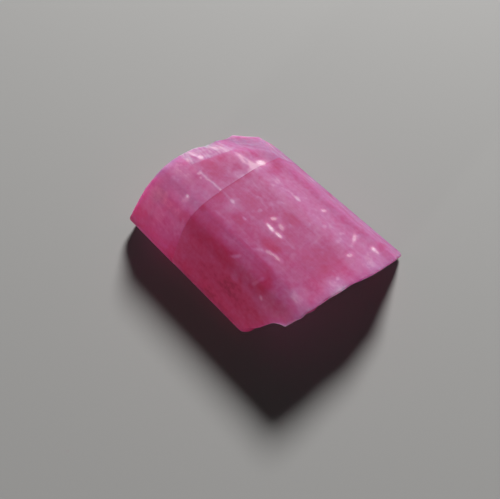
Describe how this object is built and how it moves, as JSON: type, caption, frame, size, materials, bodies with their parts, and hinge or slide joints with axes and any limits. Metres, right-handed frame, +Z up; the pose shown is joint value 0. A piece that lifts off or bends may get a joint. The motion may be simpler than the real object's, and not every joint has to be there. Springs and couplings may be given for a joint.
{
  "type": "rubellite crystal",
  "caption": "Broken piece of a striated pink tourmaline prism, translucent, lying on a flat prism face.",
  "frame": {"origin": "centre of the crystal's footprint, on the surface that it rests on", "axes": "+X along the prism axis, from the flat far break to the stepped near break; +Z up from the resting prism face; +Y towards the thin right-hand edge"},
  "size_m": [0.0204, 0.016, 0.0071],
  "materials": {
    "rubellite": "vitreous, striated, translucent with veils and small etch pits"
  },
  "bodies": {
    "root": {"rubellite_crystal": "rubellite"}
  },
  "joints": []
}
